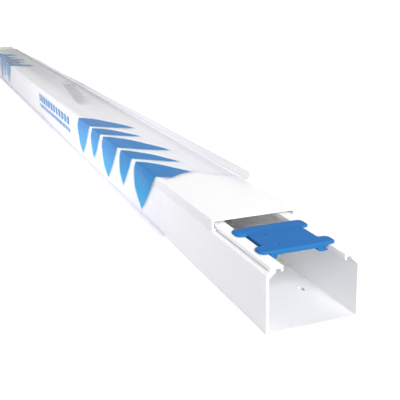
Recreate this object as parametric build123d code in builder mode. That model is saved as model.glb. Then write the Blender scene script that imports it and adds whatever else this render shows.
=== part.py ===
from build123d import *
import os

# Cable trunking, 60 by 80 mm, as it is sold in two metre lengths: an extruded channel with
# two inturned rails, the lid that clips over them, a moulded clip that bridges the rails, and
# the loose film that the length is wrapped in.
#
# Millimetres. X runs across the trunking, Y along it, away from the open end, and Z is up.
# The origin is the middle of the channel's underside, the face that goes against a wall.

# Size of the closed trunking
trunk_width = 80.0
trunk_height = 60.0
trunk_length = 2000.0

# Channel walls
wall = 1.8
floor = 1.8
bottom_radius = 0.8
inner_radius = 0.6
lip_round = 1.2

# Rail folded in along the top of each side wall. Heights build up from the lip that the lid
# stands on, and widths run inwards from the lid's skirt.
lip_drop = 10.7
lip_slope = 1.7
groove_rise = 0.9
groove_height = 1.6
nose_height = 3.4
skirt_gap = 1.3
nose_overhang = 2.7
web = 2.0
leg_gap = 4.6
rail_leg = 1.4
rail_leg_height = 4.8
rail_flange = 2.2
rail_round = 0.5
gusset_cover = 0.5
gusset_height = 5.0

# Slots in the floor for screws, in two staggered rows
slot_length = 8.0
slot_width = 4.0
slot_offset = 24.0
slot_end_margin = 62.5
slot_pitch = 250.0

# Lid, slid back from the open end as it is stored
lid_plate = 1.8
lid_skirt = 1.5
lid_corner_radius = 1.0
hook_overlap = 1.5
hook_thickness = 0.8
lid_play = 0.1
hook_play = 0.3
lid_setback = 106.0

# Clip that bridges the two rails
clip_length = 60.0
clip_setback = 23.5
clip_play = 0.15
finger_thickness = 2.05
finger_overlap = 6.8
front_finger_length = 15.0
back_finger_length = 16.5
finger_radius = 5.0
plate_thickness = 3.6
plate_gap = 1.5
waist_radius = 1.5
clip_edge_radius = 1.4
panel_recess = 0.4
dimple_radius = 1.3
dimple_depth = 1.3
dimple_offset = -10.8
dimple_forward = 3.0
dimple_pitch = 24.0
tongue_width = 8.0
tongue_thickness = 4.5
tongue_setback = 3.0
tongue_radius = 3.0
tongue_gap = 0.9
barb_overlap = 0.7
barb_lead = 2.0
barb_edge = 0.3
barb_thickness = 0.9
barb_play = 0.5
rib_thickness = 1.8
rib_depth = 1.8

# Film wrapped over the lid and both side walls, with a standing crease at the top right edge
# and a loose hem turned out along the bottom left edge
film = 0.4
film_gap = 0.3
hem_width = 5.5
film_left_setback = 240.0
film_crown_setback = 266.0
film_right_setback = 206.0
crease_height_near = 11.0
crease_height_middle = 9.5
crease_height_far = 2.0
crease_middle_setback = 545.0

# Ends and heights that the sizes above fix
half_width = trunk_width / 2
front_end = -trunk_length / 2
back_end = trunk_length / 2
lip_height = trunk_height - lip_drop
groove_floor_height = lip_height + groove_rise
nose_under_height = groove_floor_height + groove_height
rail_height = nose_under_height + nose_height
flange_under_height = rail_height - rail_flange
leg_end_height = rail_height - rail_leg_height
gusset_end_height = groove_floor_height + gusset_cover
gusset_start_height = gusset_end_height - gusset_height

# Places across the section, from the outside to the middle
skirt_inner_x = half_width - lid_skirt
nose_x = skirt_inner_x - skirt_gap
web_outer_x = nose_x - nose_overhang
web_inner_x = web_outer_x - web
leg_outer_x = web_inner_x - leg_gap
rail_inner_x = leg_outer_x - rail_leg


def section_plane(y):
    """The plane across the trunking at y, with X to the right and Z up."""
    return Plane.XZ.offset(-y)


def nearest_corner(builder, x, z):
    """The vertex of a sketch that lies nearest to the point (x, z)."""
    return builder.vertices().sort_by_distance((x, z))[0]


# Channel: one extrusion, drawn as its right half and mirrored
channel_outline = [
    (0, 0),
    (half_width, 0),
    (half_width, lip_height),
    (skirt_inner_x, lip_height),
    (skirt_inner_x - lip_slope, groove_floor_height),
    (web_outer_x, groove_floor_height),
    (web_outer_x, nose_under_height),
    (nose_x, nose_under_height),
    (nose_x, rail_height),
    (rail_inner_x, rail_height),
    (rail_inner_x, leg_end_height),
    (leg_outer_x, leg_end_height),
    (leg_outer_x, flange_under_height),
    (web_inner_x, flange_under_height),
    (web_inner_x, gusset_end_height),
    (half_width - wall, gusset_start_height),
    (half_width - wall, floor),
    (0, floor),
]

with BuildPart() as channel:
    with BuildSketch(section_plane(front_end)) as channel_section:
        with BuildLine():
            Polyline(*channel_outline, close=True)
        make_face()
        fillet(nearest_corner(channel_section, half_width, 0), radius=bottom_radius)
        fillet(nearest_corner(channel_section, half_width - wall, floor), radius=inner_radius)
        fillet(nearest_corner(channel_section, half_width, lip_height), radius=lip_round)
        rail_corners = [
            nearest_corner(channel_section, nose_x, rail_height),
            nearest_corner(channel_section, rail_inner_x, rail_height),
            nearest_corner(channel_section, rail_inner_x, leg_end_height),
            nearest_corner(channel_section, leg_outer_x, leg_end_height),
        ]
        fillet(rail_corners, radius=rail_round)
        mirror(about=Plane.YZ)
    extrude(amount=-trunk_length)

    # The right row starts near the open end, the left row the same distance from the other
    slots_in_row = int((trunk_length - 2 * slot_end_margin - slot_pitch / 2) // slot_pitch) + 1
    row_span = (slots_in_row - 1) * slot_pitch
    right_row_y = front_end + slot_end_margin + row_span / 2
    left_row_y = back_end - slot_end_margin - row_span / 2
    with BuildSketch(Plane.XY):
        for row_x, row_y in [(slot_offset, right_row_y), (-slot_offset, left_row_y)]:
            with Locations((row_x, row_y)):
                with GridLocations(slot_width, slot_pitch, 1, slots_in_row):
                    SlotOverall(slot_length, slot_width, rotation=90)
    extrude(amount=floor, mode=Mode.SUBTRACT)

channel.part.label = "channel"

# Lid: a flat plate with a skirt down each side, and a hook on each skirt that reaches into
# the groove under the rail's nose
lid_under_height = trunk_height - lid_plate
lid_end_height = lip_height + lid_play
hook_tip_x = nose_x - hook_overlap
hook_top_height = nose_under_height - hook_play

lid_outline = [
    (0, trunk_height),
    (half_width, trunk_height),
    (half_width, lid_end_height),
    (skirt_inner_x, lid_end_height),
    (skirt_inner_x, hook_top_height - 2 * hook_thickness),
    (hook_tip_x, hook_top_height - hook_thickness),
    (hook_tip_x, hook_top_height),
    (skirt_inner_x, hook_top_height),
    (skirt_inner_x, lid_under_height),
    (0, lid_under_height),
]

with BuildPart() as lid:
    with BuildSketch(section_plane(front_end + lid_setback)) as lid_section:
        with BuildLine():
            Polyline(*lid_outline, close=True)
        make_face()
        fillet(nearest_corner(lid_section, half_width, trunk_height), radius=lid_corner_radius)
        fillet(nearest_corner(lid_section, skirt_inner_x, lid_under_height), radius=inner_radius)
        mirror(about=Plane.YZ)
    extrude(amount=-trunk_length)

lid.part.label = "lid"

# Clip: an H in plan. Its four fingers lie on the rails, its plate sits between them on two
# ribs, and a tongue at each corner drops past the rail's leg and catches under it.
clip_front = front_end + clip_setback
clip_middle = clip_front + clip_length / 2
clip_back = clip_front + clip_length
finger_reach = rail_inner_x + finger_overlap
finger_under_height = rail_height + clip_play
clip_top_height = finger_under_height + finger_thickness
plate_under_height = clip_top_height - plate_thickness
plate_half_width = rail_inner_x - plate_gap
tongue_outer_x = rail_inner_x - tongue_gap
tongue_inner_x = tongue_outer_x - tongue_width
barb_tip_x = rail_inner_x + barb_overlap
tongue_end_height = leg_end_height - barb_play - barb_thickness
tongue_front = clip_front + tongue_setback
tongue_back = clip_back - tongue_setback
rib_length = tongue_back - tongue_front
waist_length = clip_length - front_finger_length - back_finger_length
waist_middle = clip_front + front_finger_length + waist_length / 2

with BuildPart() as cable_clip:
    # Fingers and plate, rounded at their tips and eased into the waist
    with BuildSketch(Plane.XY.offset(finger_under_height)) as clip_plan:
        with Locations((0, clip_middle)):
            Rectangle(2 * plate_half_width, clip_length)
        with Locations((0, clip_front + front_finger_length / 2)):
            Rectangle(2 * finger_reach, front_finger_length)
        with Locations((0, clip_back - back_finger_length / 2)):
            Rectangle(2 * finger_reach, back_finger_length)
        side_columns = clip_plan.vertices().group_by(Axis.X)
        fillet(side_columns[0] + side_columns[-1], radius=finger_radius)
        waist_corners = [
            nearest_corner(clip_plan, side * plate_half_width, y)
            for side in (-1, 1)
            for y in (clip_front + front_finger_length, clip_back - back_finger_length)
        ]
        fillet(waist_corners, radius=waist_radius)
    extrude(amount=finger_thickness)
    top_face = cable_clip.faces().sort_by(Axis.Z)[-1]
    fillet(top_face.edges(), radius=clip_edge_radius)

    # The plate is thicker than the fingers, and hangs down between the rails
    with BuildSketch(Plane.XY.offset(plate_under_height)):
        with Locations((0, clip_middle)):
            Rectangle(2 * plate_half_width, clip_length)
    extrude(amount=finger_under_height - plate_under_height)

    # Stiffening ribs under the plate's two sides, from tongue to tongue
    with BuildSketch(Plane.XY.offset(plate_under_height)):
        with Locations((0, clip_middle)):
            with GridLocations(2 * plate_half_width - rib_thickness, rib_length, 2, 1):
                Rectangle(rib_thickness, rib_length)
    extrude(amount=-rib_depth)

    # Tongues with rounded ends, one at each corner, each with a barb turned outwards
    for tongue_y in (tongue_front, tongue_back - tongue_thickness):
        with BuildSketch(section_plane(tongue_y)) as tongue_face:
            with BuildLine():
                Polyline(
                    (tongue_inner_x, plate_under_height),
                    (tongue_inner_x, tongue_end_height),
                    (tongue_outer_x - barb_lead, tongue_end_height),
                    (barb_tip_x, tongue_end_height + barb_thickness - barb_edge),
                    (barb_tip_x, tongue_end_height + barb_thickness),
                    (tongue_outer_x, tongue_end_height + barb_thickness),
                    (tongue_outer_x, plate_under_height),
                    close=True,
                )
            make_face()
            fillet(nearest_corner(tongue_face, tongue_inner_x, tongue_end_height), radius=tongue_radius)
            mirror(about=Plane.YZ)
        extrude(amount=-tongue_thickness)

    # The middle of the plate is a shade lower than the bands that carry the fingers
    with BuildSketch(Plane.XY.offset(clip_top_height)):
        with Locations((0, waist_middle)):
            Rectangle(2 * plate_half_width, waist_length)
    extrude(amount=-panel_recess, mode=Mode.SUBTRACT)

    # Two small moulding marks
    with Locations((dimple_offset, waist_middle - dimple_forward, clip_top_height - panel_recess)):
        with GridLocations(dimple_radius, dimple_pitch, 1, 2):
            Hole(radius=dimple_radius, depth=dimple_depth)

cable_clip.part.label = "cable_clip"

# Film: a thin wrap over the lid and the side walls, open underneath, cut off in a wave
inside_x = half_width + film_gap
outside_x = inside_x + film
inside_z = trunk_height + film_gap
outside_z = inside_z + film
cut_reach = outside_x + 2 * hem_width

with BuildPart() as film_wrap:
    with BuildSketch(section_plane(front_end)) as wrap_section:
        Rectangle(2 * outside_x, outside_z, align=(Align.CENTER, Align.MIN))
        Rectangle(2 * inside_x, inside_z, align=(Align.CENTER, Align.MIN), mode=Mode.SUBTRACT)
        # The hem that lies turned out on the floor
        with Locations((-inside_x, film)):
            Rectangle(hem_width, film, align=(Align.MAX, Align.CENTER))
    extrude(amount=-trunk_length)

    # The crease stands up along the right edge and dies out towards the far end
    with BuildSketch(Plane.YZ.offset(inside_x)) as crease_side:
        with BuildLine():
            Polyline(
                (front_end, inside_z),
                (front_end, outside_z + crease_height_near),
                (front_end + film_right_setback, outside_z + crease_height_near),
                (front_end + crease_middle_setback, outside_z + crease_height_middle),
                (back_end, outside_z + crease_height_far),
                (back_end, inside_z),
                close=True,
            )
        make_face()
    extrude(amount=film)

    # The front is cut away along a wave that is deepest left of the middle
    with BuildSketch(Plane.XY) as front_cut:
        with BuildLine():
            wave = Spline(
                (-outside_x, front_end + film_left_setback),
                (-half_width / 6, front_end + film_crown_setback),
                (outside_x, front_end + film_right_setback),
                tangents=[(1, 0.4), (1, 0)],
            )
            Polyline(
                wave @ 1,
                (cut_reach, front_end + film_right_setback),
                (cut_reach, front_end - film),
                (-cut_reach, front_end - film),
                (-cut_reach, front_end + film_left_setback),
                wave @ 0,
            )
        make_face()
    extrude(amount=outside_z + crease_height_near + film, mode=Mode.SUBTRACT)

film_wrap.part.label = "film_wrap"

# Write the pieces
os.makedirs("parts", exist_ok=True)
export_step(channel.part, "parts/channel.step")
export_step(lid.part, "parts/lid.step")
export_step(cable_clip.part, "parts/cable_clip.step")
export_step(film_wrap.part, "parts/film_wrap.step")
print("channel", channel.part.volume, "lid", lid.part.volume)
print("cable_clip", cable_clip.part.volume, "film_wrap", film_wrap.part.volume)
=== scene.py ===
# %% [markdown]
# # A length of cable trunking in its protective film
#
# The object is a two metre length of white PVC trunking, 60 by 80 mm. The channel, the lid and
# the blue clip come from the CAD model with their shapes finished, so this lesson gives them
# their surfaces: drawn PVC with saw-cut ends, and moulded plastic. The loose film round the
# length is a soft thing, so it is modelled here, as one thin surface with creases and a print.
#
# Everything is in metres, in the frame of the CAD model: X across the trunking, Y along it away
# from the open end, Z up, and the origin in the middle of the channel's underside.

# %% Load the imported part
import math

import bpy
import numpy as np
from mathutils import Matrix, Vector


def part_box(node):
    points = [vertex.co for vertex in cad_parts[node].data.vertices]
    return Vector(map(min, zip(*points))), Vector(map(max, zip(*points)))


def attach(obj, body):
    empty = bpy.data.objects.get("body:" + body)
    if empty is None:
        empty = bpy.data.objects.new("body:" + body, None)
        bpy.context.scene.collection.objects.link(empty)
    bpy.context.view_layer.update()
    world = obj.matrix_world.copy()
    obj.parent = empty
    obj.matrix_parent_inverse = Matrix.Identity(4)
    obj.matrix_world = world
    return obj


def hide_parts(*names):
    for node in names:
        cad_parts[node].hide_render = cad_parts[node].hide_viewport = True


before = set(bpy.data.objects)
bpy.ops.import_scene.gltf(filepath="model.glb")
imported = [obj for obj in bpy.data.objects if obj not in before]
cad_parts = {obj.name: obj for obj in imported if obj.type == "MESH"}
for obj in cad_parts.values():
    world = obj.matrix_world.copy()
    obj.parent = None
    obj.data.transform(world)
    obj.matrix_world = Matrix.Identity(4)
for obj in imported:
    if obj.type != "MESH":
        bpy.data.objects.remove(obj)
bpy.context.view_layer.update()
trunk_low, trunk_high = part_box("channel")
lid_low, lid_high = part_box("lid")

# %% [markdown]
# ## The camera
#
# The photograph looks down on the open end from the left, close enough for the two metre
# length to shrink strongly towards its far end. A pinhole camera was fitted to points of the
# section in the photograph, with its optical centre held at the middle of the picture and the
# trunking's width held at 80 mm. Its numbers are used as they came out: 20.7 degrees to the side,
# 16.9 degrees down, with the picture tilted by a degree and a half. With another centre other
# widths fit as well, so the width is a choice and not a measurement. Blender's camera looks
# along its own -Z, so the columns of its matrix are right, up and backwards.

# %% Camera
photo_side = 400
focal_pixels = 723.5
azimuth = math.radians(20.68)
elevation = math.radians(16.87)
roll = math.radians(-1.48)
eye = Vector((-0.257846, -1.442764, 0.257306))

forward = Vector((math.sin(azimuth) * math.cos(elevation),
                  math.cos(azimuth) * math.cos(elevation),
                  -math.sin(elevation)))
level_right = forward.cross(Vector((0, 0, 1))).normalized()
level_up = level_right.cross(forward)
right = math.cos(roll) * level_right + math.sin(roll) * level_up
up = math.cos(roll) * level_up - math.sin(roll) * level_right

camera_data = bpy.data.cameras.new("photo_camera")
camera_data.sensor_width = 36.0
camera_data.lens = focal_pixels / photo_side * camera_data.sensor_width
camera = bpy.data.objects.new("photo_camera", camera_data)
camera.matrix_world = Matrix((
    (right.x, up.x, -forward.x, eye.x),
    (right.y, up.y, -forward.y, eye.y),
    (right.z, up.z, -forward.z, eye.z),
    (0, 0, 0, 1),
))
bpy.context.scene.collection.objects.link(camera)
bpy.context.scene.camera = camera
print("lens:", round(camera_data.lens, 2), "mm")

# %% [markdown]
# ## Helpers for materials
#
# Every finish below is a small tree of nodes. Writing each node and link by hand hides what the
# tree does, so one helper adds a node and fills its inputs, where a socket is linked and a
# number or colour is set. Another does the same for one step of arithmetic, and the rest build
# on these two: a weighted sum, a soft step, a blend of colours, a noise, and the direction in
# which a face looks.

# %% Material helpers
def new_material(name):
    """An empty material, with its tree of nodes, its shader and its output linked."""
    material = bpy.data.materials.new(name)
    material.use_nodes = True
    tree = material.node_tree
    tree.nodes.clear()
    output = tree.nodes.new("ShaderNodeOutputMaterial")
    shader = tree.nodes.new("ShaderNodeBsdfPrincipled")
    tree.links.new(shader.outputs[0], output.inputs["Surface"])
    return material, tree, shader


def add_node(tree, kind, inputs=None, **settings):
    """Adds one node. An input that is given as a socket is linked, any other value is set."""
    node = tree.nodes.new(kind)
    for name, value in settings.items():
        setattr(node, name, value)
    for name, value in (inputs or {}).items():
        if isinstance(value, bpy.types.NodeSocket):
            tree.links.new(value, node.inputs[name])
        else:
            node.inputs[name].default_value = value
    return node


def calculate(tree, operation, *values):
    """One step of arithmetic on sockets or numbers, as a socket."""
    node = add_node(tree, "ShaderNodeMath", dict(enumerate(values)), operation=operation)
    return node.outputs[0]


def add_share(tree, base, value, weight):
    """base plus value times weight, as a socket."""
    return calculate(tree, "ADD", base, calculate(tree, "MULTIPLY", value, weight))


def ramp_between(tree, value, start, end, low=0.0, high=1.0):
    """low where value is at start or before, high at end or after, and a soft step between."""
    node = add_node(
        tree, "ShaderNodeMapRange",
        {"Value": value, "From Min": start, "From Max": end, "To Min": low, "To Max": high},
        interpolation_type="SMOOTHSTEP",
    )
    return node.outputs["Result"]


def blend_colours(tree, share, first, second):
    """The first colour where share is 0 and the second where it is 1."""
    node = add_node(tree, "ShaderNodeMix", data_type="RGBA")
    sockets = (node.inputs[0], node.inputs[6], node.inputs[7])
    for socket, value in zip(sockets, (share, first, second)):
        if isinstance(value, bpy.types.NodeSocket):
            tree.links.new(value, socket)
        else:
            socket.default_value = value
    return node.outputs[2]


def stretched_noise(tree, place, stretch, detail=3.0, roughness=0.55):
    """Noise on a place that is scaled by stretch, so a small factor draws it out that way."""
    scaled = add_node(tree, "ShaderNodeMapping", {"Vector": place, "Scale": stretch})
    noise = add_node(
        tree, "ShaderNodeTexNoise",
        {"Vector": scaled.outputs[0], "Scale": 1.0, "Detail": detail, "Roughness": roughness},
    )
    return noise.outputs["Fac"]


def faces_along(tree, axis):
    """How squarely the surface looks along an axis, either way: 0 across it and 1 along it."""
    normal = add_node(tree, "ShaderNodeTexCoord").outputs["Normal"]
    part = add_node(tree, "ShaderNodeSeparateXYZ", {"Vector": normal}).outputs[axis]
    return calculate(tree, "ABSOLUTE", part)


# %% [markdown]
# ## White PVC, drawn through a die and sawn to length
#
# Trunking is extruded: the die leaves very fine lines along the length, and the sheen wavers a
# little from side to side. A noise that is squeezed across the section and drawn out along Y
# gives both. The ends are sawn, which leaves a whiter, dull face with marks across it, so the
# material changes within a third of a millimetre of each end, by the Object coordinate Y. Two
# more masks, by height and by the distance from the middle, paint shade: a greyer tone on the
# cut's lowest edge and on the punched walls of the slots. The lid's skirts get painted shade
# too, a greyer tone that the faces' sideways direction picks out.
# One function makes the satin channel and the smoother lid. Each pair of numbers below says
# where a soft step begins and where it is full, in metres.

# %% PVC
sawn_depth = (0.00035, 0.0001)
low_edge_height = (0.0019, 0.0014)
slot_foot_height = (0.0001, 0.0003)
slot_top_height = (0.0017, 0.0015)
slots_reach = (0.030, 0.029)
sawn_tones = ((0.93, 0.93, 0.935, 1.0), (0.965, 0.965, 0.965, 1.0))
# Painted shade: a greyer tone for the lowest edge of the sawn ends
low_edge_shade_tone = (0.56, 0.56, 0.60, 1.0)
# Painted shade: a dark tone for the punched walls of the slots
slot_wall_shade_tone = (0.52, 0.50, 0.50, 1.0)
brightest_tone = 0.96


def drawn_pvc(name, colour, roughness, line_depth, ends, side_shade_tone=None):
    """Extruded PVC: die lines along Y, a slow change of tone, and sawn faces at the two ends."""
    material, tree, shader = new_material(name)
    place = add_node(tree, "ShaderNodeTexCoord").outputs["Object"]
    split = add_node(tree, "ShaderNodeSeparateXYZ", {"Vector": place})

    die_lines = stretched_noise(tree, place, (900.0, 1.6, 900.0), detail=4.0)
    sheen_bands = stretched_noise(tree, place, (90.0, 0.7, 90.0), detail=2.0)
    clouds = stretched_noise(tree, place, (9.0, 3.0, 9.0), detail=2.0)

    from_front = calculate(tree, "SUBTRACT", split.outputs["Y"], ends[0])
    from_back = calculate(tree, "SUBTRACT", ends[1], split.outputs["Y"])
    nearest_end = calculate(tree, "MINIMUM", from_front, from_back)
    sawn = ramp_between(tree, nearest_end, *sawn_depth)
    saw_marks = stretched_noise(tree, place, (260.0, 40.0, 2600.0), detail=3.0)

    cool = tuple(c * f for c, f in zip(colour, (0.972, 0.975, 0.985))) + (1.0,)
    warm = tuple(min(brightest_tone, c * f) for c, f in zip(colour, (1.012, 1.010, 1.004))) + (1.0,)
    tone = add_share(tree, calculate(tree, "MULTIPLY", die_lines, 0.45), clouds, 0.55)
    walls = blend_colours(tree, tone, cool, warm)
    cut = blend_colours(tree, saw_marks, *sawn_tones)
    height = split.outputs["Z"]
    # Painted shade on the sawn end's lowest edge, chosen by height
    cut = blend_colours(tree, ramp_between(tree, height, *low_edge_height), cut, low_edge_shade_tone)
    across = calculate(tree, "ABSOLUTE", split.outputs["X"])
    in_floor = calculate(tree, "MULTIPLY", ramp_between(tree, height, *slot_foot_height),
                         ramp_between(tree, height, *slot_top_height))
    # Painted shade in the slots' walls, within the floor's thickness near the middle
    slot_wall_shade = calculate(tree, "MULTIPLY", ramp_between(tree, across, *slots_reach), in_floor)
    walls = blend_colours(tree, slot_wall_shade, walls, slot_wall_shade_tone)
    # Painted shade: faces that look sideways along X get a greyer tone
    if side_shade_tone:
        sideways = ramp_between(tree, faces_along(tree, "X"), 0.6, 0.9)
        walls = blend_colours(tree, sideways, walls, side_shade_tone)
    tree.links.new(blend_colours(tree, sawn, walls, cut), shader.inputs["Base Color"])

    satin = add_share(tree, roughness - 0.05, sheen_bands, 0.1)
    dull = calculate(tree, "MAXIMUM", satin, calculate(tree, "MULTIPLY", sawn, 0.7))
    tree.links.new(dull, shader.inputs["Roughness"])

    lines = add_node(tree, "ShaderNodeBump",
                     {"Strength": 0.6, "Distance": line_depth, "Height": die_lines})
    saw_depth = calculate(tree, "MULTIPLY", saw_marks, sawn)
    marks = add_node(tree, "ShaderNodeBump",
                     {"Strength": 0.8, "Distance": 0.00012, "Height": saw_depth,
                      "Normal": lines.outputs[0]})
    tree.links.new(marks.outputs[0], shader.inputs["Normal"])
    shader.inputs["Specular IOR Level"].default_value = 0.25
    shader.inputs["Subsurface Weight"].default_value = 0.5
    shader.inputs["Subsurface Radius"].default_value = (1.0, 1.0, 1.0)
    shader.inputs["Subsurface Scale"].default_value = 0.002
    return material


channel_pvc = drawn_pvc("channel_pvc", (0.955, 0.946, 0.944), 0.42, 0.00003,
                        (trunk_low.y, trunk_high.y))
# The lid's skirts get painted shade, a greyer tone than its top
lid_pvc = drawn_pvc("lid_pvc", (0.94, 0.94, 0.945), 0.32, 0.00002, (lid_low.y, lid_high.y),
                    side_shade_tone=(0.84, 0.84, 0.84, 1.0))
print("PVC finishes:", channel_pvc.name, lid_pvc.name)

# %% [markdown]
# ## Blue moulded plastic
#
# The clip is injection moulded. Its mould is spark eroded, which leaves a fine even grain, and
# the plastic has a faint cloudiness where it flowed round the waist of the clip. The grain is
# a fine noise in the bump, and it also dulls the sheen from point to point. The sides get
# painted shade, a deeper and darker blue, and the surface's own upright direction tells the
# sides from the grained top.

# %% Clip plastic
def moulded_plastic(name, colour):
    """Moulded plastic: a grain of a third of a millimetre, and clouds of a slightly paler tone."""
    material, tree, shader = new_material(name)
    place = add_node(tree, "ShaderNodeTexCoord").outputs["Object"]
    grain = stretched_noise(tree, place, (3000.0, 3000.0, 3000.0), detail=2.0)
    flow = stretched_noise(tree, place, (70.0, 160.0, 70.0), detail=3.0)

    dark = tuple(c * 0.9 for c in colour) + (1.0,)
    pale = (colour[0] * 1.35, colour[1] * 1.14, colour[2] * 1.08, 1.0)
    tone = add_share(tree, calculate(tree, "MULTIPLY", flow, 0.7), grain, 0.3)
    top = blend_colours(tree, tone, dark, pale)
    # Painted shade: the sides get a deeper, darker blue than the top
    side = ramp_between(tree, faces_along(tree, "Z"), 0.75, 0.35)
    side_shade_blue = (colour[0], colour[1] * 0.86, colour[2] * 0.70, 1.0)
    tree.links.new(blend_colours(tree, side, top, side_shade_blue), shader.inputs["Base Color"])

    sheen = add_share(tree, 0.42, grain, 0.16)
    tree.links.new(sheen, shader.inputs["Roughness"])
    bump = add_node(tree, "ShaderNodeBump",
                    {"Strength": 0.5, "Distance": 0.00004, "Height": grain})
    tree.links.new(bump.outputs[0], shader.inputs["Normal"])
    shader.inputs["Specular IOR Level"].default_value = 0.03
    return material


clip_plastic = moulded_plastic("clip_plastic", (0.022, 0.157, 0.462))

for node_name, finish in (("channel", channel_pvc), ("lid", lid_pvc), ("cable_clip", clip_plastic)):
    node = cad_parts[node_name]
    node.data.materials.clear()
    node.data.materials.append(finish)
    print(node_name, "is finished in", finish.name)

# %% [markdown]
# ## The film: its flat pattern
#
# The film is a thin polythene tube that was slipped over the length. It lies flat against the
# left wall, the lid and the right wall. What it has too much of stands up as a crease along the
# right edge, and lies turned out on the floor along the left edge. A cloth simulation of a
# sheet two metres long and a twentieth of a millimetre thick would be slow and would lose these
# folds, so the film is a surface of two parameters: the girth, which runs round the section, and
# the length along the trunking. First come the girth's stations: the distance round the section
# at which the film turns each corner.

# %% Film sizes
mm = 0.001
film_clearance = 0.5 * mm
side_x = trunk_high.x + film_clearance
crown_z = lid_high.z + film_clearance
floor_z = 0.35 * mm
hem_reach = 5.0 * mm
fin_gap = 0.35 * mm
fin_height = 11.0 * mm

hem_turn = hem_reach
left_edge = hem_turn + crown_z - floor_z
fin_foot = left_edge + 2 * side_x - fin_gap
fin_top = fin_foot + fin_height
right_edge = fin_top + fin_height
girth = right_edge + crown_z - floor_z
print("film girth:", round(girth * 1000, 1), "mm")

# %% [markdown]
# ## The film: where its front was torn off
#
# The front edge isn't square. On the left wall it runs straight down, over the lid it swings
# back in a wave, and at the standing crease it comes furthest forward. The wave is a table of
# a few stations round the girth, measured in the photograph, and it is smoothed by averaging it
# with its own neighbourhood. Distances are from the trunking's open end.

# %% Film front edge
front_stations = np.array([
    (0.0, 0.243), (hem_turn, 0.240), (left_edge - 0.012, 0.238), (left_edge, 0.2405),
    (left_edge + 0.009, 0.2455), (left_edge + 0.015, 0.252), (left_edge + 0.033, 0.2655),
    (left_edge + 0.048, 0.2585), (left_edge + 0.060, 0.238), (left_edge + 0.078, 0.221),
    (fin_foot, 0.206), (fin_top, 0.2005), (right_edge, 0.202), (girth, 0.2055),
])


def front_edge(around):
    """The film's front, from the open end: the table's straight runs, averaged over 8 mm."""
    spread = np.linspace(-0.008, 0.008, 9)
    weight = np.exp(-(spread / 0.004) ** 2)
    runs = np.interp(around[..., None] + spread, front_stations[:, 0], front_stations[:, 1])
    return (runs * weight).sum(-1) / weight.sum()


print("front edge from", round(float(front_stations[:, 1].min()), 4),
      "to", round(float(front_stations[:, 1].max()), 4), "m")

# %% [markdown]
# ## The film: its grid and its section
#
# The grid has more lines where the film turns, and where its front is in view. Round the girth
# the section is a path of straight runs. Averaging the path with points up to 1.5 mm before and
# after rounds every corner as a soft film would, and the same average of the runs' outward
# directions gives the direction in which wrinkles stand out. The standing crease shrinks from
# 11 mm at the front to 2 mm at the far end, because its film is used up by the wrinkles there.

# %% Film grid and section
def graded(stations, counts):
    """Points along a line, evenly spread between each pair of stations."""
    runs = [np.linspace(a, b, n, endpoint=False) for a, b, n in zip(stations, stations[1:], counts)]
    return np.concatenate([*runs, [stations[-1]]])


around_line = graded(
    (0.0, hem_turn, left_edge - 0.004, left_edge + 0.004, fin_foot - 0.003, fin_foot + 0.002,
     fin_top - 0.0015, fin_top + 0.0015, right_edge - 0.001, girth),
    (5, 30, 9, 54, 7, 8, 6, 10, 24),
)
along_line = np.linspace(0.0, 1.0, 520) ** 1.35
around, share = np.meshgrid(around_line, along_line)
front = front_edge(around)
trunk_span = trunk_high.y - trunk_low.y
ragged = 0.003 + 0.0025 * np.sin(around * 90.0) * np.sin(around * 37.0)
along = front + (trunk_span - ragged - front) * share

path_stations = (0.0, hem_turn, left_edge, fin_foot, fin_top, right_edge, girth)
path_x = (-side_x - hem_reach, -side_x, -side_x, side_x - fin_gap, side_x - fin_gap,
          side_x + fin_gap, side_x + fin_gap)
path_z = (floor_z, floor_z, crown_z, crown_z, crown_z, crown_z, floor_z)
fin_share = (0.0, 0.0, 0.0, 0.0, 1.0, 0.0, 0.0)
crease_stations = (0.2, 0.545, 2.0)
crease_heights = (0.0110, 0.0095, 0.0022)
slope_step = 0.2 * mm


def rounded(around, values):
    """The path's straight runs averaged over 1.5 mm either side, which rounds its corners."""
    spread = np.linspace(-1.5, 1.5, 7) * mm
    weight = np.exp(-(spread / (0.8 * mm)) ** 2)
    runs = np.interp(around[..., None] + spread, path_stations, values)
    return (runs * weight).sum(-1) / weight.sum()


def rise(values):
    """The rounded path's rise across each point: ahead by one step minus behind by one."""
    return rounded(around + slope_step, values) - rounded(around - slope_step, values)


base_x = rounded(around, path_x)
base_z = rounded(around, path_z)
on_fin = rounded(around, fin_share)
crease_height = np.interp(along, crease_stations, crease_heights)
base_z = base_z + crease_height * on_fin

slope_x = rise(path_x)
slope_z = rise(path_z) + crease_height * rise(fin_share)
slope_size = np.hypot(slope_x, slope_z) + 1e-12
out_x = -slope_z / slope_size
out_z = slope_x / slope_size
print("grid:", around.shape[1], "by", around.shape[0])

# %% [markdown]
# ## The film: its wrinkles
#
# Thin film wrinkles in three ways at once, and each is its own sum over the grid:
#
# - slow swells, where the film stands a little off the plastic in long waves;
# - ridges that run nearly along the length, where the spare girth is pushed together, and these
#   grow towards the far end, where the standing crease gives its film back;
# - single sharp folds, each a short ridge with its own place, direction, length and height.
#
# All the numbers come from one seeded generator, so the film is the same at each run.

# %% Film wrinkles
chance = np.random.default_rng(26)


def swells(count, longest, shortest, skew):
    """A sum of sine waves with random directions and phases, divided so that it stays near one."""
    total = np.zeros_like(around)
    for wave, phase, turn in zip(np.geomspace(longest, shortest, count),
                                 chance.uniform(0, 2 * np.pi, count),
                                 chance.uniform(-1, 1, count)):
        total += np.sin(2 * np.pi * (along / wave + skew * turn * around / wave) + phase)
    return total / count ** 0.5


def ridges(spacing, drift, sharpness):
    """Ridges along the length, spacing apart round the girth, that wander by drift as they go."""
    slow = np.sin(2 * np.pi * along / 0.61 + 1.0)
    quick = 0.6 * np.sin(2 * np.pi * along / 0.23)
    wander = drift * (slow + quick)
    height = 0.5 + 0.5 * np.cos(2 * np.pi * (around + wander) / spacing)
    return height ** sharpness


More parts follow.
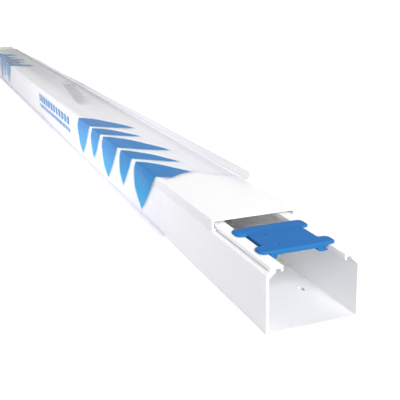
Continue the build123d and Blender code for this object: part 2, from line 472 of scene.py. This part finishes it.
def folds(count, start, end, low, high):
    """Sharp folds: the sum of ridges that fall off across and along each fold's own direction."""
    place_g = chance.uniform(low, high, count)[:, None, None]
    place_y = chance.uniform(start, end, count)[:, None, None]
    slant = chance.uniform(-0.1, 0.1, count)[:, None, None]
    length = chance.uniform(0.05, 0.22, count)[:, None, None]
    width = chance.uniform(0.0018, 0.0045, count)[:, None, None]
    height = chance.uniform(0.35, 1.0, count)[:, None, None]
    run = along - place_y
    across = around - place_g - slant * run
    return (height * np.exp(-np.abs(across) / width) * np.exp(-(run / length) ** 2)).sum(0)


def soft_step(value, start, end):
    """0 before start, 1 after end, and a smooth rise between."""
    t = np.clip((value - start) / (end - start), 0.0, 1.0)
    return t * t * (3.0 - 2.0 * t)


def plateau(value, start, full, fall, end):
    """1 from full to fall, 0 before start and after end, and a smooth step between."""
    return soft_step(value, start, full) * (1 - soft_step(value, fall, end))


on_crown = plateau(around, left_edge + 0.002, left_edge + 0.010, fin_foot - 0.006, fin_foot)
on_left = plateau(around, hem_turn + 0.004, hem_turn + 0.014, left_edge - 0.010, left_edge - 0.002)
on_right = soft_step(around, right_edge + 0.003, right_edge + 0.012)
far = soft_step(along, 0.45, 1.5)

lift = 0.45 * mm * (1 + swells(5, 0.34, 0.09, 2.2)) * (0.5 * on_left + 0.4 * on_crown + on_right)
lift += (0.2 + 0.7 * far) * mm * ridges(0.0215, 0.005, 1.3) * on_crown
lift += 0.35 * mm * ridges(0.027, 0.006, 2.0) * on_left
lift += 0.5 * mm * ridges(0.021, 0.005, 2.0) * on_right
lift += (0.35 + 0.3 * far) * mm * folds(20, 0.24, 1.95, left_edge + 0.006, fin_foot) * on_crown
lift += 0.4 * mm * folds(18, 0.26, 1.95, hem_turn + 0.008, left_edge - 0.004) * on_left
lift += 0.8 * mm * folds(22, 0.22, 1.95, right_edge + 0.006, girth) * on_right
lift = np.maximum(lift, 0.0)

from_cut = along - front
lift += 0.9 * mm * np.exp(-from_cut / 0.010) * (0.4 + 0.6 * on_crown) * (on_left + on_crown)
print("wrinkles stand out by up to", round(float(lift.max()) * 1000, 2), "mm")

# %% [markdown]
# ## The film: from arrays to a mesh
#
# The points go to the mesh in one call, and the faces are written so that they look outwards.
# The grid's two parameters, the girth and the distance along, are kept as the UV map, in metres,
# so that the print is drawn on the flat film at its real size and then follows the film round
# the corner. How close a point is to the torn edge goes in as an attribute for the material.

# %% Film mesh
lean = 0.7 * mm * np.sin(2 * np.pi * along / 0.47 + 0.6) * on_fin
point_x = base_x + out_x * lift + lean
point_z = np.maximum(base_z + out_z * lift, 0.15 * mm)


def grid_mesh(name, x, y, z, uv):
    """A mesh from arrays of coordinates: one face for each cell of the grid, facing outwards."""
    rows, columns = x.shape
    mesh = bpy.data.meshes.new(name)
    number = np.arange(rows * columns).reshape(rows, columns)
    corners = np.stack([number[:-1, :-1], number[:-1, 1:], number[1:, 1:], number[1:, :-1]], -1)
    corners = corners.reshape(-1, 4)
    mesh.vertices.add(rows * columns)
    mesh.vertices.foreach_set("co", np.stack([x, y, z], -1).astype(np.float32).ravel())
    mesh.loops.add(corners.size)
    mesh.loops.foreach_set("vertex_index", corners.ravel().astype(np.int32))
    mesh.polygons.add(len(corners))
    mesh.polygons.foreach_set("loop_start", np.arange(0, corners.size, 4, dtype=np.int32))
    mesh.polygons.foreach_set("use_smooth", np.ones(len(corners), dtype=bool))
    flat = mesh.uv_layers.new(name="flat_film")
    flat.data.foreach_set("uv", uv.reshape(-1, 2)[corners.ravel()].astype(np.float32).ravel())
    mesh.update()
    mesh.validate()
    return mesh


film_mesh = grid_mesh("film", point_x, along + trunk_low.y, point_z, np.stack([around, along], -1))
film = bpy.data.objects.new("film", film_mesh)
bpy.context.scene.collection.objects.link(film)

edge = film_mesh.attributes.new("torn_edge", "FLOAT", "POINT")
edge.data.foreach_set("value", np.exp(-from_cut / (0.9 * mm)).astype(np.float32).ravel())
film_triangles = 2 * len(film_mesh.polygons)
print("film:", film_triangles, "triangles")

# %% [markdown]
# ## The film: where it looks milky
#
# Film that clings to the plastic is nearly invisible. Film that stands off it, or lies double,
# looks milky. A second attribute says how milky each point is, and where painted shade goes, as
# a sum of soft steps and bell curves of the grid's two parameters:
#
# - over the lid it grows with the distance, where the film gets looser, but less so beside the
#   standing crease, where the thinner haze paints light into the crease's cast shadow;
# - at the torn edge it rises for about a centimetre;
# - the standing crease is the film lying double, and its far top has more;
# - painted shade lines run along the crease's foot, widening towards the far end;
# - one slanting fold, about 0.9 m from the open end, lies double on the lid.

# %% Film haze
most_haze = 0.8
shade_reach = 3.5 * mm
foot_shade_place = fin_foot + 0.4 * mm


def bell(value, middle, width):
    """A bell curve: exp(-((value - middle) / width) squared)."""
    return np.exp(-((value - middle) / width) ** 2)


haze_shade_attribute = film_mesh.attributes.new("haze_and_painted_shade", "FLOAT", "POINT")
lid_part = plateau(around, left_edge + 0.002, left_edge + 0.010, fin_foot - 0.001, fin_foot + 0.001)
far_part = soft_step(along, 0.55, 0.95)
to_crease = 1 - 0.9 * far_part * (1 - soft_step(around, left_edge + 0.010, left_edge + 0.046))
# Painted light: less of the grey haze in the crease's cast shadow beside its foot
shadow_lift = 0.7 * (1 - far_part) * bell(around, fin_foot - shade_reach, shade_reach)
looser = 0.07 + 0.11 * soft_step(along, 0.5, 1.0) + 0.08 * soft_step(along, 0.9, 1.4)
haze_and_shade = 0.01 + lid_part * to_crease * (1 - shadow_lift) * looser
slack = bell(along, 0.84, 0.07) * soft_step(around, left_edge + 0.02, fin_foot)
haze_and_shade += 0.06 * slack * lid_part
haze_and_shade += bell(from_cut, 0.0, 0.012) * (0.20 * lid_part + 0.05 * on_left)

on_crease = plateau(around, fin_foot - 0.001, fin_foot + 0.001, right_edge - 0.001, right_edge + 0.001)
crease_haze = 0.18 + 0.08 * soft_step(along, 0.3, 0.8) + 0.06 * bell(along, 1.0, 0.1)
haze_and_shade += on_crease * crease_haze
haze_and_shade += 0.18 * bell(around, fin_top, 0.0008) * far_part

across_fold = around - (left_edge + 0.034 + 0.026 * (along - 0.78) / 0.27)
doubled = plateau(across_fold, -0.010, -0.006, 0.002, 0.022)
doubled *= plateau(along, 0.75, 0.82, 1.03, 1.10) * on_crown
# Painted shade: a dark line beside the crease's foot, wider and stronger towards the far end
foot_shade_width = 0.8 * mm + 1.6 * mm * soft_step(along, 0.4, 1.0)
foot_shade = bell(around, fin_foot - 0.8 * foot_shade_width, foot_shade_width) * soft_step(along, 0.22, 0.5)
# Painted shade: a narrow line at the crease's foot, over the lid edge's highlight
haze_and_shade += 0.14 * bell(around, foot_shade_place, 0.9 * mm)
haze_and_shade = np.clip(haze_and_shade + 0.30 * doubled + (0.02 + 0.16 * far_part) * foot_shade, 0.0, most_haze)
haze_shade_attribute.data.foreach_set("value", haze_and_shade.astype(np.float32).ravel())
print("haze from", round(float(haze_and_shade.min()), 3), "to", round(float(haze_and_shade.max()), 3))

# %% [markdown]
# ## The film: its material and print
#
# Clear polythene shows the plastic through it, under a faint milky haze that is denser where
# the film lies loose. So the alpha is low, a little higher along fine drawn lines, at the torn
# edge and where the film is loose, and full where ink covers it. On the wall the haze is a pale
# bluish white. Over the lid its tint is painted shade: bluish near the open end and a neutral
# grey further back. The crease gets a deeper painted shade, and the hem a painted shadow.
#
# The print is a plain design of bands: leaf shaped, in turn wide and narrow, slanting over the
# edge, each with a thin pale outline. All of it is arithmetic on the flat film's two
# coordinates. A band's own coordinate is the distance along the length plus a slant that grows
# with the girth. Dividing that by the bands' spacing numbers the bands, and what is left over
# says how far a point is from its band's middle. The ink runs from royal blue on the lid to
# cyan low on the wall. Rows of dashes follow after the bands, and the whole design repeats.

# %% Film print
print_girth = left_edge + 0.001
print_reach = 0.053
band_spacing = 0.078
band_count = 5
design_start = 0.262
design_repeat = 1.22
band_bow = 0.030
band_slant = 0.052
band_half_width = 0.037
narrow_by = 0.013
shorten_by = 0.2
taper_power = 2.2
outline_edges = ((0.0008, 0.0014), (0.0032, 0.0024))
dashes_start = (0.722, 0.724)
dashes_end = (1.034, 1.032)
# Each row's middle round the girth, half height, spacing and filled share of the spacing
dash_rows = (
    (left_edge - 0.019, 0.0068, 0.026, 0.62),
    (left_edge - 0.034, 0.0034, 0.013, 0.55),
)


def printed_bands(tree, girth_place, length_place):
    """The ink and the outline of the slanting bands, each from 0 to 1."""
    offset = calculate(tree, "SUBTRACT", girth_place, print_girth)
    reach = calculate(tree, "DIVIDE", offset, print_reach)
    bow = calculate(tree, "MULTIPLY", calculate(tree, "MULTIPLY", reach, reach), band_bow)
    slant = calculate(tree, "MULTIPLY", reach, band_slant)
    place = calculate(tree, "ADD", calculate(tree, "ADD", length_place, slant), bow)
    from_start = calculate(tree, "SUBTRACT", place, design_start)
    count = calculate(tree, "DIVIDE", from_start, band_spacing)
    number = calculate(tree, "FLOOR", count)
    middle = calculate(tree, "SUBTRACT", calculate(tree, "SUBTRACT", count, number), 0.5)
    distance = calculate(tree, "MULTIPLY", calculate(tree, "ABSOLUTE", middle), band_spacing)

    narrow = calculate(tree, "MODULO", number, 2.0)
    less = calculate(tree, "MULTIPLY", narrow, narrow_by)
    widest = calculate(tree, "SUBTRACT", band_half_width, less)
    shorter = add_share(tree, 1.0, narrow, shorten_by)
    outwards = calculate(tree, "ABSOLUTE", calculate(tree, "MULTIPLY", reach, shorter))
    taper = calculate(tree, "POWER", outwards, taper_power)
    half_width = calculate(tree, "MULTIPLY", calculate(tree, "SUBTRACT", 1.0, taper), widest)
    beyond = calculate(tree, "SUBTRACT", distance, half_width)

    first = calculate(tree, "GREATER_THAN", number, -0.5)
    last = calculate(tree, "LESS_THAN", number, band_count - 0.5)
    inside = calculate(tree, "MULTIPLY", first, last)
    ink = calculate(tree, "MULTIPLY", ramp_between(tree, beyond, 0.0003, -0.0003), inside)
    line = calculate(tree, "MULTIPLY", *(ramp_between(tree, beyond, *e) for e in outline_edges))
    return ink, calculate(tree, "MULTIPLY", line, inside)


def printed_dashes(tree, girth_place, length_place):
    """Two rows of dashes along the left wall, the upper row long and the lower row short."""
    total = None
    for middle, tall, spacing, filled in dash_rows:
        above = calculate(tree, "ABSOLUTE", calculate(tree, "SUBTRACT", girth_place, middle))
        row = ramp_between(tree, above, tall + 0.0003, tall - 0.0003)
        turn = calculate(tree, "FRACT", calculate(tree, "DIVIDE", length_place, spacing))
        aside = calculate(tree, "ABSOLUTE", calculate(tree, "SUBTRACT", turn, 0.5))
        dash = ramp_between(tree, aside, filled / 2 + 0.02, filled / 2 - 0.02)
        both = calculate(tree, "MULTIPLY", row, dash)
        total = both if total is None else calculate(tree, "MAXIMUM", total, both)
    inside = calculate(tree, "MULTIPLY", ramp_between(tree, length_place, *dashes_start),
                       ramp_between(tree, length_place, *dashes_end))
    return calculate(tree, "MULTIPLY", total, inside)


# %% Film material
ink_on_wall = (0.014, 0.37, 0.72, 1.0)
ink_on_lid = (0.008, 0.19, 0.51, 1.0)
ink_of_dashes = (0.03, 0.30, 0.68, 1.0)
outline_tint = (0.45, 0.80, 0.95, 1.0)
# Painted shadow: the lavender along the hem on the floor
hem_shadow_tint = (0.52, 0.52, 0.74, 1.0)
# Painted shade: the dark grey for the standing crease
crease_shade_tint = (0.26, 0.27, 0.36, 1.0)
# Each haze runs between two tints as its milkiness varies. The lid's pairs are painted shade, darker
# copies of the wall's pale tints
wall_tints = ((0.86, 0.95, 1.0, 1.0), (0.94, 0.98, 1.0, 1.0))
near_lid_shade_tints = ((0.54, 0.55, 0.80, 1.0), (0.68, 0.69, 0.90, 1.0))
far_lid_shade_tints = ((0.46, 0.45, 0.48, 1.0), (0.62, 0.61, 0.64, 1.0))


def printed_film(name):
    """Clear film with a haze, drawn lines, a torn edge, and the printed design on top."""
    material, tree, shader = new_material(name)
    uv = add_node(tree, "ShaderNodeUVMap", uv_map="flat_film").outputs[0]
    split = add_node(tree, "ShaderNodeSeparateXYZ", {"Vector": uv})
    girth_place = split.outputs["X"]
    length_place = calculate(tree, "ADD", calculate(
        tree, "MODULO", calculate(tree, "SUBTRACT", split.outputs["Y"], 0.1), design_repeat), 0.1)
    ink, line = printed_bands(tree, girth_place, length_place)
    dashes = printed_dashes(tree, girth_place, length_place)

    drawn = stretched_noise(tree, uv, (170.0, 2.0, 1.0), detail=2.0)
    milky = stretched_noise(tree, uv, (60.0, 5.0, 1.0), detail=2.5)
    torn = add_node(tree, "ShaderNodeAttribute", attribute_name="torn_edge").outputs["Fac"]
    haze_and_shade = add_node(tree, "ShaderNodeAttribute", attribute_name="haze_and_painted_shade").outputs["Fac"]

    wall_share = ramp_between(tree, girth_place, left_edge - 0.045, left_edge + 0.004)
    blue = blend_colours(tree, wall_share, ink_on_wall, ink_on_lid)
    wall_haze = blend_colours(tree, milky, *wall_tints)
    # Painted shade: over the lid the haze takes darker tints, bluish near the open end and grey
    # further back
    near_lid_shade = blend_colours(tree, milky, *near_lid_shade_tints)
    far_lid_shade = blend_colours(tree, milky, *far_lid_shade_tints)
    distance = ramp_between(tree, split.outputs["Y"], 0.3, 0.7)
    lid_shaded_haze = blend_colours(tree, distance, near_lid_shade, far_lid_shade)
    hem_shadow_share = ramp_between(tree, girth_place, hem_turn + 0.008, hem_turn - 0.001)
    on_lid = ramp_between(tree, girth_place, left_edge - 0.004, left_edge + 0.006)
    haze_and_shade_tint = blend_colours(tree, on_lid, wall_haze, lid_shaded_haze)
    haze_and_shade_tint = blend_colours(tree, hem_shadow_share, haze_and_shade_tint, hem_shadow_tint)
    # Painted shade on the standing crease, from its foot to its right edge
    crease = calculate(tree, "MULTIPLY",
                       ramp_between(tree, girth_place, fin_foot - 0.0015, fin_foot - 0.0003),
                       ramp_between(tree, girth_place, right_edge + 0.001, right_edge - 0.0005))
    haze_and_shade_tint = blend_colours(tree, crease, haze_and_shade_tint, crease_shade_tint)
    with_line = blend_colours(tree, line, haze_and_shade_tint, outline_tint)
    with_dashes = blend_colours(tree, dashes, with_line, ink_of_dashes)
    tree.links.new(blend_colours(tree, ink, with_dashes, blue), shader.inputs["Base Color"])

    streaks = calculate(tree, "MULTIPLY", calculate(tree, "MULTIPLY", drawn, haze_and_shade), 0.9)
    clouds = calculate(tree, "MULTIPLY", milky, 0.06)
    haze_and_shade_cover = add_share(tree, calculate(tree, "ADD", streaks, clouds), haze_and_shade, 0.6)
    # Painted shadow along the hem: more cover, growing towards the far end
    hem_shadow_cover = ramp_between(tree, split.outputs["Y"], 0.3, 1.2, 0.20, 0.44)
    haze_and_shade_cover = calculate(tree, "ADD", haze_and_shade_cover, calculate(tree, "MULTIPLY", hem_shadow_share, hem_shadow_cover))
    torn_share = ramp_between(tree, girth_place, left_edge, left_edge + 0.06, 0.12, 0.42)
    cover = calculate(tree, "MAXIMUM", haze_and_shade_cover, calculate(tree, "MULTIPLY", torn, torn_share))
    cover = calculate(tree, "MAXIMUM", cover, calculate(tree, "MULTIPLY", line, 0.8))
    cover = calculate(tree, "MAXIMUM", cover, calculate(tree, "MULTIPLY", dashes, 0.9))
    cover = calculate(tree, "MAXIMUM", cover, calculate(tree, "MULTIPLY", ink, 0.985))
    tree.links.new(cover, shader.inputs["Alpha"])

    sheen = add_share(tree, 0.16, milky, 0.12)
    tree.links.new(sheen, shader.inputs["Roughness"])
    crinkle = add_node(tree, "ShaderNodeBump",
                       {"Strength": 0.35, "Distance": 0.0005, "Height": milky})
    tree.links.new(crinkle.outputs[0], shader.inputs["Normal"])
    shader.inputs["Specular IOR Level"].default_value = 0.02
    return material


film_mesh.materials.append(printed_film("film_print"))
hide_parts("film_wrap")
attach(film, "channel")

# %% [markdown]
# ## Floor, background and light
#
# The photograph is a cut-out on white. The floor is a large pale plane. Seen by the camera it
# gets some light of its own, which grows with the distance from the trunking, so that it is
# white except where the trunking darkens it. Under the trunking it has none, or it would shine
# up through the slots. The world is white to the camera, to reflections and to what is seen
# through the film, and far lower for lighting, where it is the studio's soft light all round.

# %% Floor and world
white = (1.0, 1.0, 1.0, 1.0)
floor_tone = (0.80, 0.80, 0.80, 1.0)
room_light = 0.2
trunk_end = 1.0


def seen_share(tree):
    """1 for rays of the camera, of reflections and through the film, and 0 for lighting."""
    rays = add_node(tree, "ShaderNodeLightPath")
    seen = calculate(tree, "MAXIMUM", rays.outputs["Is Camera Ray"], rays.outputs["Is Glossy Ray"])
    return calculate(tree, "MAXIMUM", seen, rays.outputs["Is Transmission Ray"])


floor_mesh = bpy.data.meshes.new("floor")
floor_mesh.from_pydata([(-8, -6, 0), (8, -6, 0), (8, 14, 0), (-8, 14, 0)], [], [(0, 1, 2, 3)])
floor = bpy.data.objects.new("floor", floor_mesh)
bpy.context.scene.collection.objects.link(floor)
floor_paint = bpy.data.materials.new("floor_paint")
floor_paint.use_nodes = True
tree = floor_paint.node_tree
tree.nodes.clear()
seen = seen_share(tree)
floor_place = add_node(tree, "ShaderNodeTexCoord").outputs["Object"]
split = add_node(tree, "ShaderNodeSeparateXYZ", {"Vector": floor_place})
past_end = calculate(tree, "SUBTRACT", calculate(tree, "ABSOLUTE", split.outputs["Y"]), trunk_end)
aside = add_node(tree, "ShaderNodeCombineXYZ",
                 {"X": split.outputs["X"], "Y": calculate(tree, "MAXIMUM", past_end, 0.0)})
away = add_node(tree, "ShaderNodeVectorMath", {0: aside.outputs[0]}, operation="LENGTH")
aside_glow = ramp_between(tree, away.outputs["Value"], 0.05, 0.4, low=0.4, high=1.0)
far_glow = ramp_between(tree, split.outputs["Y"], -0.8, 0.4, low=0.4, high=0.9)
beside = ramp_between(tree, calculate(tree, "ABSOLUTE", split.outputs["X"]), 0.036, 0.040)
uncovered = calculate(tree, "MAXIMUM", ramp_between(tree, past_end, 0.0, 0.001), beside)
strength = calculate(tree, "MULTIPLY", uncovered,
                     calculate(tree, "MAXIMUM", aside_glow, far_glow))
paint = add_node(tree, "ShaderNodeBsdfDiffuse", {"Color": floor_tone})
glow = add_node(tree, "ShaderNodeEmission", {"Color": white, "Strength": strength})
lit = add_node(tree, "ShaderNodeAddShader", {0: paint.outputs[0], 1: glow.outputs[0]})
shown = add_node(tree, "ShaderNodeMixShader", {0: seen, 1: paint.outputs[0], 2: lit.outputs[0]})
add_node(tree, "ShaderNodeOutputMaterial", {"Surface": shown.outputs[0]})
floor_mesh.materials.append(floor_paint)

world = bpy.data.worlds.new("studio")
world.use_nodes = True
bpy.context.scene.world = world
tree = world.node_tree
tree.nodes.clear()
strength = add_share(tree, room_light, seen_share(tree), 1.0 - room_light)
sky = add_node(tree, "ShaderNodeBackground", {"Color": white, "Strength": strength})
add_node(tree, "ShaderNodeOutputWorld", {"Surface": sky.outputs[0]})
print("world light:", room_light)

# %% [markdown]
# ## Lamps
#
# Two wide lamps in front, one high and one low, light the inside through the open end. One up
# on the right lights the lid. Two low and faintly blue ones on the left light the left wall,
# which gets lighter away from the open end. Their powers began as a least squares mix: the scene
# was rendered with each lamp alone, and the sum of those pictures was fitted to the photograph
# at about thirty places. They were then changed a little.

# %% Lamps
faint_blue = (0.92, 0.905, 1.0)


def soft_lamp(name, place, target, width, height, power, colour=(1.0, 1.0, 1.0)):
    """A rectangular area lamp that looks from its place at a target."""
    data = bpy.data.lights.new(name, "AREA")
    data.shape = "RECTANGLE"
    data.size = width
    data.size_y = height
    data.energy = power
    data.color = colour
    lamp = bpy.data.objects.new(name, data)
    facing = (Vector(target) - Vector(place)).to_track_quat("-Z", "Y")
    lamp.matrix_world = Matrix.Translation(place) @ facing.to_matrix().to_4x4()
    lamp.visible_camera = False
    bpy.context.scene.collection.objects.link(lamp)
    print("lamp", name, "with", power, "watts")


soft_lamp("right_side", (1.2, -0.4, 1.2), (0, -0.4, 0), 1.0, 1.0, 11.0)
soft_lamp("front_high", (-0.1, -3.2, 1.6), (0, -0.9, 0), 1.0, 1.0, 54.0)
soft_lamp("front_low", (-0.3, -3.6, 0.9), (0, -0.9, 0), 1.0, 0.6, 62.0)
soft_lamp("left_side", (-0.5, -0.45, 0.16), (0, -0.45, 0.03), 0.4, 0.2, 1.3, faint_blue)
soft_lamp("left_row", (-0.45, 0.25, 0.17), (0, 0.25, 0.03), 1.5, 0.25, 1.5, faint_blue)
bpy.context.scene.view_settings.view_transform = "Standard"
